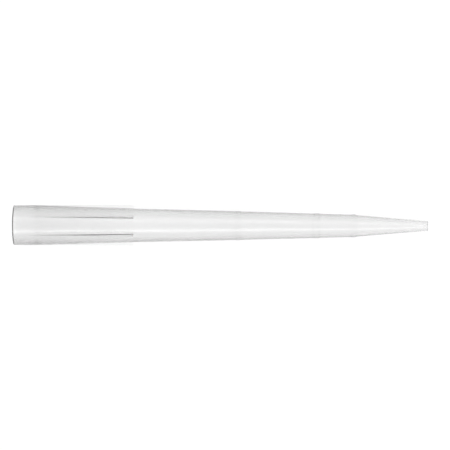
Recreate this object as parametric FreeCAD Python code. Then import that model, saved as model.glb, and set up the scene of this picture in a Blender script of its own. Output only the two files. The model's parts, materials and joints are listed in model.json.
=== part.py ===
import FreeCAD, Part
import math
import os

# A clear one-piece pipette tip of the 1000 microlitre class. Millimetres, +Z up.
#
# The tip is turned and ribbed along its own axis first, with x = 0 at the rim of the wide end and x growing
# towards the orifice. It is then laid on its side on the plane z = 0, with the orifice towards +X.

# ---- driving dimensions ----
length = 90.0              # rim to orifice
collar_diameter = 8.57     # plain band at the rim, and the circle that the ribs reach out to
collar_length = 2.70       # from the rim to where the ribs grow out of the cone
rim_round = 0.19           # radius of the rim's outer edge

# Inside of the wide end: a flared mouth, a short parallel counterbore, then a step down to the conical seat.
collar_wall = 0.71
counterbore_depth = 4.93
mouth_flare = 0.24         # how far the mouth opens beyond the counterbore, and how deep the flare is
seat_step = 0.12           # how much the radius drops at the step
seat_step_length = 0.24    # the step is a short cone

# Ribs: straight, with square lower ends that stand on a rack's plate.
rib_count = 6
rib_width = 0.38
rib_end = 25.96            # rim to the ribs' lower ends

# Half-angles of the barrel's outer cones, in degrees, from the collar down to the last ring.
seat_taper = 1.60          # collar to the ribs' lower ends
upper_taper = 1.24         # ribs to the first ring
middle_taper = 1.55        # first ring to the second
lower_taper = 1.45         # second ring to the third

# Graduation rings, taken to mark 500, 200 and 100 microlitres. Each is a flat band with sloped flanks, and
# the barrel is a little thinner after it. In order: distance of the band's upper edge from the orifice, width,
# axial run of its rising flank, axial run of its falling flank, drop in radius across it.
ring_500 = (41.64, 0.81, 0.04, 0.28, 0.057)
ring_200 = (24.82, 1.15, 0.04, 0.09, 0.043)
ring_100 = (16.72, 1.23, 0.15, 0.40, 0.104)
ring_height = 0.043        # band's face above its upper edge

# Walls and orifice.
rib_end_wall = 0.38
ring_500_wall = 0.43
ring_200_wall = 0.43
point_wall = 0.38          # at the top of the last cone, under the third ring
orifice_diameter = 1.32
orifice_wall = 0.37
orifice_round = 0.08       # radius of the orifice's outer edge


def drop(taper, run):
    """How much a cone of this half-angle loses in radius over an axial run."""
    return math.tan(math.radians(taper)) * run


def ring_corners(ring, radius_above):
    """A graduation ring's four corners from its upper edge to its lower one, as (x, radius) points."""
    from_orifice, width, rise, fall, step = ring
    start = length - from_orifice
    end = start + width
    face_radius = radius_above + ring_height
    return [
        (start, radius_above),
        (start + rise, face_radius),
        (end - fall, face_radius),
        (end, radius_above - step),
    ]


# ---- outline of the barrel, from the rim to the orifice, as (x, radius) points ----
collar_radius = collar_diameter / 2
orifice_radius = orifice_diameter / 2
cone_top = (collar_length, collar_radius)
rib_foot = (rib_end, collar_radius - drop(seat_taper, rib_end - collar_length))
ring_500_top = rib_foot[1] - drop(upper_taper, length - ring_500[0] - rib_end)
bands = [ring_corners(ring_500, ring_500_top)]
for ring, taper in ((ring_200, middle_taper), (ring_100, lower_taper)):
    last_x, last_radius = bands[-1][-1]
    top_radius = last_radius - drop(taper, length - ring[0] - last_x)
    bands.append(ring_corners(ring, top_radius))
orifice_edge = (length, orifice_radius + orifice_wall)

# The bore follows the outline at the stated walls, and ends in the orifice.
counterbore_radius = collar_radius - collar_wall
seat_top = (counterbore_depth + seat_step_length, counterbore_radius - seat_step)
bore = [
    seat_top,
    (rib_end, rib_foot[1] - rib_end_wall),
    (bands[0][-1][0], bands[0][-1][1] - ring_500_wall),
    (bands[1][-1][0], bands[1][-1][1] - ring_200_wall),
    (bands[2][-1][0], bands[2][-1][1] - point_wall),
    (length, orifice_radius),
]


def vector(point):
    """A point of the half-section, which lies in the plane of the axis and the radius."""
    return FreeCAD.Vector(point[0], 0, point[1])


def line(start, end):
    return Part.makeLine(vector(start), vector(end))


def corner_arc(centre, radius, first_degrees, last_degrees):
    """A round corner about a centre. Zero degrees points along +X and 90 points outwards."""
    def at(degrees):
        angle = math.radians(degrees)
        return centre[0] + radius * math.cos(angle), centre[1] + radius * math.sin(angle)
    middle = at((first_degrees + last_degrees) / 2)
    return Part.Arc(vector(at(first_degrees)), vector(middle), vector(at(last_degrees))).toShape()


def revolved(edges):
    """The solid that a closed half-section sweeps around the tip's axis."""
    face = Part.Face(Part.Wire(edges))
    return face.revolve(FreeCAD.Vector(0, 0, 0), FreeCAD.Vector(1, 0, 0), 360)


def barrel():
    """The outside of the tip without its ribs, solid right through."""
    rim_centre = (rim_round, collar_radius - rim_round)
    edge_centre = (length - orifice_round, orifice_edge[1] - orifice_round)
    edges = [
        line((0, 0), (0, rim_centre[1])),
        corner_arc(rim_centre, rim_round, 180, 90),
    ]
    outline = [(rim_round, collar_radius), cone_top, rib_foot]
    for band in bands:
        outline += band
    outline.append((edge_centre[0], orifice_edge[1]))
    edges += [line(a, b) for a, b in zip(outline, outline[1:])]
    edges += [
        corner_arc(edge_centre, orifice_round, 90, 0),
        line((length, edge_centre[1]), (length, 0)),
        line((length, 0), (0, 0)),
    ]
    return revolved(edges)


def inside():
    """Everything that is hollow, from the flared mouth to the orifice."""
    outline = [
        (0, 0),
        (0, counterbore_radius + mouth_flare),
        (mouth_flare, counterbore_radius),
        (counterbore_depth, counterbore_radius),
    ]
    outline += bore
    outline += [(length, 0), (0, 0)]
    return revolved([line(a, b) for a, b in zip(outline, outline[1:])])


def rib(angle):
    """One rib, from the axis out to the collar's circle. It starts inside the collar."""
    start = collar_length / 2
    run = rib_end - start
    slab = Part.makeBox(run, rib_width, collar_diameter, FreeCAD.Vector(start, -rib_width / 2, 0))
    circle = Part.makeCylinder(collar_radius, run, FreeCAD.Vector(start, 0, 0), FreeCAD.Vector(1, 0, 0))
    blade = slab.common(circle)
    blade.rotate(FreeCAD.Vector(0, 0, 0), FreeCAD.Vector(1, 0, 0), angle)
    return blade


# Two ribs straddle the underside, so the first stands half a pitch away from straight down.
rib_pitch = 360 / rib_count
ribs = [rib(180 + rib_pitch * (number + 0.5)) for number in range(rib_count)]
tip = barrel().multiFuse(ribs).cut(inside()).removeSplitter()


def resting_slope(balance_x):
    """How fast the floor closes on the axis when the tip lies on its side.

    The floor touches the tip at one place on each side of its centre of mass, and nothing reaches below it.
    """
    rib_corner = math.radians(rib_pitch / 2) - math.asin(rib_width / collar_diameter)
    points = [(rim_round, collar_radius), cone_top]
    points.append((rib_end, collar_radius * math.cos(rib_corner)))
    for band in bands:
        points += band
    points.append((length - orifice_round, orifice_edge[1]))
    pairs = [(a, b) for a in points for b in points if a[0] < balance_x < b[0]]
    for near, far in pairs:
        slope = (near[1] - far[1]) / (far[0] - near[0])
        if all(depth <= near[1] - slope * (x - near[0]) + 1e-9 for x, depth in points):
            return slope


# Lay the tip down: its axis leans by the floor's slope, so the point is the lower end.
lean = math.atan(resting_slope(tip.Solids[0].CenterOfMass.x))
tip.rotate(FreeCAD.Vector(0, 0, 0), FreeCAD.Vector(0, 1, 0), math.degrees(lean))

# The origin is on the floor, under the middle of the tip.
box = tip.optimalBoundingBox()
tip.translate(FreeCAD.Vector(-box.Center.x, -box.Center.y, -box.ZMin))

os.makedirs("parts", exist_ok=True)
tip.Solids[0].exportStep("parts/pipette_tip.step")
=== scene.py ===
import json
import math

import bmesh
import bpy
from mathutils import Matrix, Vector


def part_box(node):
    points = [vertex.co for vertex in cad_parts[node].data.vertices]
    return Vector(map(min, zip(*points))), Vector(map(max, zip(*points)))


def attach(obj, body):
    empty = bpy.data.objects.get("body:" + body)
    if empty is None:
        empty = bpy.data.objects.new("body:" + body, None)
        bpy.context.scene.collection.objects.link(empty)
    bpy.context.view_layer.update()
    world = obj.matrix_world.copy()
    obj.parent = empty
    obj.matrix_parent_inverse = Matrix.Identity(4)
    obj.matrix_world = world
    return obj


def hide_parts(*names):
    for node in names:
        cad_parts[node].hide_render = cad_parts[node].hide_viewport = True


# A clear moulded polypropylene pipette tip lying on a white table under soft studio light, seen from above.

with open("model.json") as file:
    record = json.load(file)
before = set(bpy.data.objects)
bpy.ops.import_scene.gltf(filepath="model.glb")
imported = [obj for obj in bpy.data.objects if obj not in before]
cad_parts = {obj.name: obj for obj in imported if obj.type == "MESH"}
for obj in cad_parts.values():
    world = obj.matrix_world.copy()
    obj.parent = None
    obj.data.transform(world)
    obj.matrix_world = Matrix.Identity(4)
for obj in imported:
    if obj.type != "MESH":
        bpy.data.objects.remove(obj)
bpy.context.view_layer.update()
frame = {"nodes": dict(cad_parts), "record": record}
NODE = "pipette_tip"
MM = 0.001

# ---- sizes that the frame holds ----
mounts = {mount["name"]: mount for mount in frame["record"]["mounts"]}
socket = mounts["socket"]
out_of_mouth = Vector(socket["axis"]).normalized()
AXIS = -out_of_mouth                                  # from the rim towards the orifice
to_rim = (Vector(mounts["rim_face"]["pos_m"]) - Vector(socket["pos_m"])).dot(out_of_mouth)
RIM_CENTRE = Vector(socket["pos_m"]) + to_rim * out_of_mouth
COUNTERBORE_RADIUS = socket["dims"]["r_mm"] * MM
COUNTERBORE_DEPTH = to_rim + socket["dims"]["length_mm"] * MM / 2
RIB_END = (Vector(mounts["rack_seat"]["pos_m"]) - RIM_CENTRE).dot(AXIS)
COLLAR_RADIUS = (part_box(NODE)[1].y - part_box(NODE)[0].y) / 2
LENGTH = max((vertex.co - RIM_CENTRE).dot(AXIS) for vertex in frame["nodes"][NODE].data.vertices)

# ---- the rest of the section, as the CAD solid has it ----
COLLAR_LENGTH = 2.70 * MM
RIM_ROUND = 0.19 * MM
MOUTH_FLARE = 0.24 * MM
SEAT_STEP = 0.12 * MM
SEAT_STEP_LENGTH = 0.24 * MM
RIB_COUNT = 6
RIB_WIDTH = 0.38 * MM
SEAT_TAPER, UPPER_TAPER, MIDDLE_TAPER, LOWER_TAPER = 1.60, 1.24, 1.55, 1.45
# Each ring: distance of its upper edge from the orifice, width, rise's run, fall's run, drop in radius across
# it, and the taper of the cone above it.
RINGS = [
    (41.64 * MM, 0.81 * MM, 0.04 * MM, 0.28 * MM, 0.057 * MM, UPPER_TAPER),
    (24.82 * MM, 1.15 * MM, 0.04 * MM, 0.09 * MM, 0.043 * MM, MIDDLE_TAPER),
    (16.72 * MM, 1.23 * MM, 0.15 * MM, 0.40 * MM, 0.104 * MM, LOWER_TAPER),
]
RING_HEIGHT = 0.043 * MM
RIB_END_WALL = 0.38 * MM
RING_WALLS = (0.43 * MM, 0.43 * MM, 0.38 * MM)        # under each ring's lower edge
ORIFICE_RADIUS = 0.66 * MM
ORIFICE_WALL = 0.37 * MM
ORIFICE_ROUND = 0.08 * MM

# ---- moulding detail that only shows close up ----
RIB_EDGE_ROUND = 0.12 * MM
RIB_ROOT_FILLET = 0.02 * MM
RING_EDGE_ROUND = 0.06 * MM

# ---- mesh density: the longest runs between rows, and the angle from which an edge is a true corner ----
COLLAR_ROW = 0.6 * MM
RIB_ROW = 0.7 * MM
BARREL_ROW = 1.2 * MM
BORE_ROW = 1.6 * MM
RIB_RUN_OUT = 0.4 * MM     # from the collar's end to the first section with ribs
SHARP_ANGLE = math.radians(28)


def drop(taper, run):
    return math.tan(math.radians(taper)) * run


def subdivide(start, end, step):
    """Points from start towards end, start included and end left out, no further apart than step."""
    count = max(1, math.ceil(abs(end[0] - start[0]) / step))
    return [
        tuple(a + (b - a) * index / count for a, b in zip(start, end))
        for index in range(count)
    ]


def corner(centre, radius, first_degrees, last_degrees, count=6):
    """Points round a corner, both ends included. Zero degrees points to the orifice and 90 outwards."""
    points = []
    for index in range(count + 1):
        angle = math.radians(first_degrees + (last_degrees - first_degrees) * index / count)
        points.append((centre[0] + radius * math.cos(angle), centre[1] + radius * math.sin(angle)))
    return points


def softened(points, size, count=3):
    """An open line with each inner corner cut round, within size of the corner along both of its sides."""
    line = [points[0]]
    for before, here, after in zip(points, points[1:], points[2:]):
        ends = []
        for other in (before, after):
            reach = min(size / math.dist(here, other), 0.45)
            ends.append(tuple(a + (b - a) * reach for a, b in zip(here, other)))
        for index in range(count + 1):
            share = index / count
            line.append(tuple(
                (1 - share) ** 2 * a + 2 * share * (1 - share) * b + share ** 2 * c
                for a, b, c in zip(ends[0], here, ends[1])
            ))
    return line + [points[-1]]


# ---- the two halves of the section, as (distance from the rim, radius) points ----
rib_foot = (RIB_END, COLLAR_RADIUS - drop(SEAT_TAPER, RIB_END - COLLAR_LENGTH))
ring_edges = []
above = rib_foot
for from_orifice, width, rise, fall, step, taper in RINGS:
    start = LENGTH - from_orifice
    radius = above[1] - drop(taper, start - above[0])
    crest = radius + RING_HEIGHT
    above = (start + width, radius - step)
    ring_edges.append([(start, radius), (start + rise, crest), (start + width - fall, crest), above])


def lower_outline():
    """The outside from the ribs' lower ends to the orifice."""
    edge_radius = ORIFICE_RADIUS + ORIFICE_WALL
    edge_centre = (LENGTH - ORIFICE_ROUND, edge_radius - ORIFICE_ROUND)
    corners = [rib_foot]
    for ring in ring_edges:
        corners += ring
    corners.append((edge_centre[0], edge_radius))
    line = softened(corners, RING_EDGE_ROUND)
    points = []
    for start, end in zip(line, line[1:]):
        points += subdivide(start, end, BARREL_ROW)
    return points + corner(edge_centre, ORIFICE_ROUND, 90, 0, 4)


def bore_outline():
    """The inside from the orifice back to the flared mouth."""
    seat_top = (COUNTERBORE_DEPTH + SEAT_STEP_LENGTH, COUNTERBORE_RADIUS - SEAT_STEP)
    stations = [(LENGTH, ORIFICE_RADIUS)]
    for ring, wall in zip(reversed(ring_edges), reversed(RING_WALLS)):
        stations.append((ring[-1][0], ring[-1][1] - wall))
    stations += [
        (RIB_END, rib_foot[1] - RIB_END_WALL),
        seat_top,
        (COUNTERBORE_DEPTH, COUNTERBORE_RADIUS),
        (MOUTH_FLARE, COUNTERBORE_RADIUS),
        (0.0, COUNTERBORE_RADIUS + MOUTH_FLARE),
    ]
    points = []
    for start, end in zip(stations, stations[1:]):
        points += subdivide(start, end, BORE_ROW)
    return points + [stations[-1]]


def rib_half(body_radius, top_radius):
    """Half of a rib's section, from its top's middle out to the body, as (outwards, sideways) points."""
    half = RIB_WIDTH / 2
    height = top_radius - body_radius
    edge = min(RIB_EDGE_ROUND, 0.4 * height)
    root = min(RIB_ROOT_FILLET, 0.4 * height)
    top = math.sqrt(top_radius ** 2 - (half - edge) ** 2)
    base = math.sqrt(body_radius ** 2 - (half + root) ** 2)
    points = [(top_radius, 0.0), (math.sqrt(top_radius ** 2 - (half / 2) ** 2), half / 2)]
    for index in range(5):
        angle = math.radians(90 - 22.5 * index)
        points.append((top - edge + edge * math.sin(angle), half - edge + edge * math.cos(angle)))
    for index in range(5):
        angle = math.radians(180 + 22.5 * index)
        points.append((base + root + root * math.sin(angle), half + root + root * math.cos(angle)))
    return points


BETWEEN = 20        # columns between one rib's foot and the next


def section(body_radius, top_radius, like_body=None):
    """One closed section as (angle, radius) pairs. like_body places the columns as for that body radius."""
    columns = []
    half = [
        (math.atan2(sideways, outwards), math.hypot(outwards, sideways))
        for outwards, sideways in rib_half(like_body or body_radius, top_radius)
    ]
    pitch = 2 * math.pi / RIB_COUNT
    foot = half[-1][0]
    for number in range(RIB_COUNT):
        middle = pitch * (number + 0.5)
        columns += [(middle - angle, radius) for angle, radius in reversed(half)]
        columns += [(middle + angle, radius) for angle, radius in half[1:]]
        for index in range(1, BETWEEN):
            columns.append((middle + foot + (pitch - 2 * foot) * index / BETWEEN, body_radius))
    return columns


def plain_section(radius, columns):
    """A round section whose columns stand at the angles of the given ones."""
    return [(angle, radius) for angle, _ in columns]


def tip_sections():
    """Every section of the closed skin, from the mouth's flare round the rim, down outside and back inside."""
    sections = []
    rib_start = COLLAR_LENGTH + RIB_RUN_OUT
    slim = COLLAR_RADIUS - drop(SEAT_TAPER, rib_start - COLLAR_LENGTH)
    collar_columns = section(slim, COLLAR_RADIUS)
    rim_centre = (RIM_ROUND, COLLAR_RADIUS - RIM_ROUND)
    collar = corner(rim_centre, RIM_ROUND, 180, 90)
    collar += subdivide(collar[-1], (COLLAR_LENGTH, COLLAR_RADIUS), COLLAR_ROW)[1:]
    collar.append((COLLAR_LENGTH, COLLAR_RADIUS))
    sections += [(x, plain_section(radius, collar_columns)) for x, radius in collar]
    for x, radius in subdivide((rib_start, slim), rib_foot, RIB_ROW) + [rib_foot]:
        sections.append((x, section(radius, COLLAR_RADIUS)))
    foot_columns = sections[-1][1]
    sections += [(x, plain_section(radius, foot_columns)) for x, radius in lower_outline()]
    sections += [(x, plain_section(radius, collar_columns)) for x, radius in bore_outline()]
    return sections


def build_tip():
    """The tip's skin as one closed mesh, laid on the CAD solid's axis."""
    side = Vector((0, 1, 0))
    up = AXIS.cross(side).normalized()
    sections = tip_sections()
    width = len(sections[0][1])
    vertices = []
    for x, columns in sections:
        for angle, radius in columns:
            outwards = -math.cos(angle) * up + math.sin(angle) * side
            vertices.append(RIM_CENTRE + x * AXIS + radius * outwards)
    faces = []
    for row in range(len(sections)):
        following = (row + 1) % len(sections)
        for column in range(width):
            beside = (column + 1) % width
            faces.append((
                row * width + column,
                row * width + beside,
                following * width + beside,
                following * width + column,
            ))
    mesh = bpy.data.meshes.new("clear_tip")
    mesh.from_pydata(vertices, [], faces)
    tidy_mesh(mesh)
    tip = bpy.data.objects.new("clear_tip", mesh)
    bpy.context.scene.collection.objects.link(tip)
    return tip


def tidy_mesh(mesh):
    """Welds rows that meet, points every face outwards, and keeps only true corners sharp."""
    work = bmesh.new()
    work.from_mesh(mesh)
    bmesh.ops.remove_doubles(work, verts=work.verts, dist=0.0005 * MM)
    bmesh.ops.dissolve_degenerate(work, edges=work.edges, dist=0.0002 * MM)
    bmesh.ops.recalc_face_normals(work, faces=work.faces)
    for face in work.faces:
        face.smooth = True
    work.to_mesh(mesh)
    work.free()
    mesh.set_sharp_from_angle(angle=SHARP_ANGLE)


# ---- the plastic: roughness at the collar and at the point, and how far it strays from that ----
ROUGH_COLLAR, ROUGH_POINT = 0.26, 0.21
ROUGH_SPREAD = 0.05
TINT = (1, 1, 1, 1)
PLASTIC_IOR = 1.49
# Features per metre along and across the tip, and heights, of the long flow lines and the fine mould texture.
FLOW_SCALE, FLOW_HEIGHT = (90, 700, 700), 0.010 * MM
PEEL_SCALE, PEEL_HEIGHT = (1500, 2200, 2200), 0.0006 * MM
# The plastic takes this much light per metre, times one minus the colour: its thick edges are its dark ones.
ABSORPTION_COLOUR = (0.5, 0.5, 0.5, 1)
ABSORPTION_DENSITY = 230


def clear_polypropylene():
    """Clear polypropylene: glassy, a little hazier towards the collar, with a moulded skin that is never even."""
    material = bpy.data.materials.new("clear_plastic")
    material.use_nodes = True
    nodes = material.node_tree.nodes
    links = material.node_tree.links
    shader = nodes["Principled BSDF"]
    shader.inputs["Base Color"].default_value = TINT
    shader.inputs["Transmission Weight"].default_value = 1.0
    shader.inputs["IOR"].default_value = PLASTIC_IOR
    place = nodes.new("ShaderNodeTexCoord").outputs["Object"]
    along = nodes.new("ShaderNodeSeparateXYZ")
    links.new(place, along.inputs[0])
    haze = nodes.new("ShaderNodeMapRange")
    haze.inputs["From Min"].default_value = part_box(NODE)[0].x
    haze.inputs["From Max"].default_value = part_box(NODE)[1].x
    haze.inputs["To Min"].default_value = ROUGH_COLLAR
    haze.inputs["To Max"].default_value = ROUGH_POINT
    links.new(along.outputs["X"], haze.inputs["Value"])
    flow = stretched_noise(nodes, links, place, FLOW_SCALE, 3)
    uneven = maths(nodes, links, "MULTIPLY_ADD", flow, 2 * ROUGH_SPREAD, -ROUGH_SPREAD)
    links.new(maths(nodes, links, "ADD", haze.outputs[0], uneven), shader.inputs["Roughness"])
    peel = stretched_noise(nodes, links, place, PEEL_SCALE, 2)
    waves = bump(nodes, links, flow, FLOW_HEIGHT, None)
    skin = bump(nodes, links, peel, PEEL_HEIGHT, waves)
    links.new(skin, shader.inputs["Normal"])
    absorption = nodes.new("ShaderNodeVolumeAbsorption")
    absorption.inputs["Color"].default_value = ABSORPTION_COLOUR
    absorption.inputs["Density"].default_value = ABSORPTION_DENSITY
    links.new(absorption.outputs[0], nodes["Material Output"].inputs["Volume"])
    return material


def stretched_noise(nodes, links, place, scale, detail):
    """Noise with scale features to the metre, along and across the tip."""
    mapping = nodes.new("ShaderNodeMapping")
    mapping.inputs["Scale"].default_value = scale
    links.new(place, mapping.inputs["Vector"])
    noise = nodes.new("ShaderNodeTexNoise")
    noise.inputs["Scale"].default_value = 1.0
    noise.inputs["Detail"].default_value = detail
    links.new(mapping.outputs[0], noise.inputs["Vector"])
    return noise.outputs["Fac"]


def bump(nodes, links, height, distance, under):
    """A Bump node over the normal that under gives, or over the plain surface. Returns its normal."""
    node = nodes.new("ShaderNodeBump")
    node.inputs["Distance"].default_value = distance
    links.new(height, node.inputs["Height"])
    if under is not None:
        links.new(under, node.inputs["Normal"])
    return node.outputs[0]


def maths(nodes, links, operation, *values):
    """A Math node fed by sockets or plain numbers. Returns its output."""
    node = nodes.new("ShaderNodeMath")
    node.operation = operation
    for socket, value in zip(node.inputs, values):
        if isinstance(value, (int, float)):
            socket.default_value = value
        else:
            links.new(value, socket)
    return node.outputs[0]


# ---- table and room: how white each is to the rays that show the background, and what else it gives ----
TABLE_HALF = 0.6
TABLE_LEVEL = 0.94
TABLE_COLOUR = (0.10, 0.10, 0.10, 1)                  # takes the tip's faint shadow
WORLD_LEVEL = 1.0
ROOM_LEVEL = 0.72                                     # the light that the room gives to everything else
# Softboxes: degrees from straight up towards +Y, size along the tip, size across it, power.
SOFTBOXES = [
    (-34, 0.5, 0.10, 0.7),
    (42, 0.5, 0.20, 0.3),
]
SOFTBOX_DISTANCE = 0.5


def stage_plane(name, half, height):
    """Adds a square level plane that isn't part of the object. Returns its material, with no nodes in it yet."""
    mesh = bpy.data.meshes.new(name)
    corners = [(-half, -half, height), (half, -half, height), (half, half, height), (-half, half, height)]
    mesh.from_pydata(corners, [], [(0, 1, 2, 3)])
    plane = bpy.data.objects.new(name, mesh)
    bpy.context.scene.collection.objects.link(plane)
    material = bpy.data.materials.new(name)
    material.use_nodes = True
    material.node_tree.nodes.clear()
    mesh.materials.append(material)
    return material


def seen_rays(nodes, links):
    """One for the rays that show the background: the camera's own, and those that glossy and clear things send."""
    rays = nodes.new("ShaderNodeLightPath").outputs
    sent_on = maths(nodes, links, "MAXIMUM", rays["Is Glossy Ray"], rays["Is Transmission Ray"])
    return maths(nodes, links, "MAXIMUM", rays["Is Camera Ray"], sent_on)


def make_floor():
    """A plain white table that keeps a faint shadow. The plastic shows the same white as the camera sees."""
    material = stage_plane("table", TABLE_HALF, 0)
    nodes = material.node_tree.nodes
    links = material.node_tree.links
    diffuse = nodes.new("ShaderNodeBsdfDiffuse")
    diffuse.inputs["Color"].default_value = TABLE_COLOUR
    emission = nodes.new("ShaderNodeEmission")
    level = maths(nodes, links, "MULTIPLY", seen_rays(nodes, links), TABLE_LEVEL)
    links.new(level, emission.inputs["Strength"])
    white = nodes.new("ShaderNodeAddShader")
    links.new(diffuse.outputs[0], white.inputs[0])
    links.new(emission.outputs[0], white.inputs[1])
    output = nodes.new("ShaderNodeOutputMaterial")
    links.new(white.outputs[0], output.inputs["Surface"])


def softbox(degrees, size, size_across, power):
    """A soft lamp that looks at the tip from so many degrees off straight up."""
    lamp = bpy.data.lights.new("softbox", "AREA")
    lamp.shape = "RECTANGLE"
    lamp.size = size
    lamp.size_y = size_across
    lamp.energy = power
    holder = bpy.data.objects.new("softbox", lamp)
    bpy.context.scene.collection.objects.link(holder)
    lean = math.radians(degrees)
    place = Vector((0, SOFTBOX_DISTANCE * math.sin(lean), SOFTBOX_DISTANCE * math.cos(lean)))
    holder.location = place
    holder.rotation_euler = (-place).to_track_quat("-Z", "Y").to_euler()


def make_lights():
    """A soft room, white to the rays that show the background, and two long softboxes over the tip."""
    world = bpy.data.worlds.new("studio")
    bpy.context.scene.world = world
    world.use_nodes = True
    nodes = world.node_tree.nodes
    links = world.node_tree.links
    level = nodes.new("ShaderNodeMapRange")
    level.inputs["To Min"].default_value = ROOM_LEVEL
    level.inputs["To Max"].default_value = WORLD_LEVEL
    links.new(seen_rays(nodes, links), level.inputs["Value"])
    links.new(level.outputs[0], nodes["Background"].inputs["Strength"])
    nodes["Background"].inputs["Color"].default_value = (1, 1, 1, 1)
    for settings in SOFTBOXES:
        softbox(*settings)


# ---- the photograph's view ----
VIEW_WIDTH = 97.77 * MM
CAMERA_DISTANCE = 388.4 * MM
LEAN_BACK = math.radians(3)
TURN = math.radians(0.21)
AIM_ASIDE = (0.843 * MM, 0.133 * MM)                  # from the middle of the tip's box
AIM_HEIGHT = 0.75                                     # as a share of the rim centre's height
SENSOR_WIDTH = 36
CLIP_START = 0.01


def make_camera():
    scene = bpy.context.scene
    middle = (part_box(NODE)[0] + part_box(NODE)[1]) / 2
    aim = Vector((middle.x + AIM_ASIDE[0], middle.y + AIM_ASIDE[1], RIM_CENTRE.z * AIM_HEIGHT))
    camera_data = bpy.data.cameras.new("camera")
    camera_data.sensor_width = SENSOR_WIDTH
    camera_data.lens = SENSOR_WIDTH * CAMERA_DISTANCE / VIEW_WIDTH
    camera_data.clip_start = CLIP_START
    camera = bpy.data.objects.new("camera", camera_data)
    scene.collection.objects.link(camera)
    back = Vector((0, math.sin(LEAN_BACK), math.cos(LEAN_BACK)))
    upward = Vector((0, math.cos(LEAN_BACK), -math.sin(LEAN_BACK)))
    rightward = Vector((1, 0, 0))
    place = Matrix((rightward, upward, back)).transposed().to_4x4()
    place = place @ Matrix.Rotation(TURN, 4, "Z")
    place.translation = aim + back * CAMERA_DISTANCE
    camera.matrix_world = place
    scene.camera = camera
    scene.view_settings.view_transform = "Standard"


make_camera()
make_lights()
make_floor()
tip = build_tip()
tip.data.materials.append(clear_polypropylene())
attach(tip, "root")
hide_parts(NODE)
